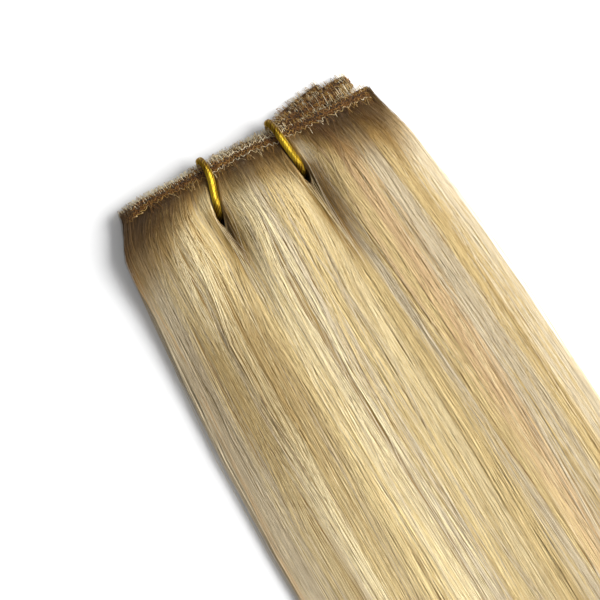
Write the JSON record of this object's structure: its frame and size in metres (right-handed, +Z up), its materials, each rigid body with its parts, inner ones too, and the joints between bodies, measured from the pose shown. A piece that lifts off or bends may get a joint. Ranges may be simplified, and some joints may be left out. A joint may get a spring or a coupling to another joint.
{
  "type": "hair weft",
  "caption": "Straight blond hair weft folded into a flat pack, its sewn band tied round with gold elastic cord and the hair lying straight out to one side.",
  "frame": {"origin": "on the table, under the middle of the box round the whole pack", "axes": "+X along the sewn band toward its fanned end, +Y from the hair's tips toward the band, +Z up"},
  "size_m": [0.12, 0.4164, 0.0138],
  "materials": {
    "hair": "smooth straight blond hair with a soft sheen",
    "band_thread": "golden-brown sewing thread in close zigzag rows",
    "gold_cord": "metallic gold thread wound round elastic"
  },
  "bodies": {
    "root": {"sewn_band": "band_thread", "hair_layer_1": "hair", "hair_layer_2": "hair", "hair_layer_3": "hair", "hair_layer_4": "hair", "tie_left": "gold_cord", "tie_right": "gold_cord"}
  },
  "joints": []
}
